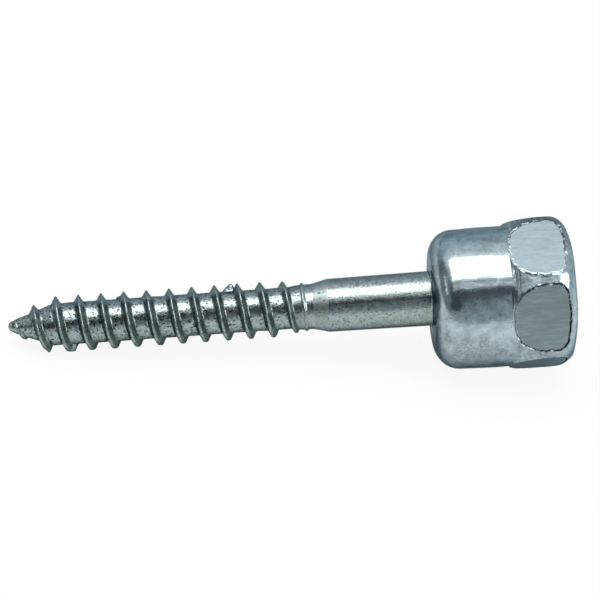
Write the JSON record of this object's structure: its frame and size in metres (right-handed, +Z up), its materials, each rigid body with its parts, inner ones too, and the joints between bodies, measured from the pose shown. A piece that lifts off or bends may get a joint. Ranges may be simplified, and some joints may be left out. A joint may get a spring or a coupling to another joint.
{
  "type": "threaded rod hanger screw",
  "caption": "One-piece steel wood screw with a round-shouldered hexagon head that is tapped from its far end to hold a hanging threaded rod.",
  "frame": {"origin": "Middle of the bounding box's base, on the surface that the screw lies on.", "axes": "+Z is up. +X runs from the point to the head, level along that surface. The screw's own axis lies in the XZ plane and rises about 6.13 degrees towards the head, because the screw rests on the head's shoulder and on a thread crest near its point. It is rolled 10 degrees about its axis from having a flat of the hexagon downwards. It lies at rest anywhere within about 17 degrees to each side of that flat, where a corner of the hexagon stops it."},
  "size_m": [0.0676, 0.0186, 0.0185],
  "materials": {
    "zinc_plated_steel": "bright blue-white zinc plating"
  },
  "bodies": {
    "root": {"hanger_screw": "zinc_plated_steel"}
  },
  "joints": []
}
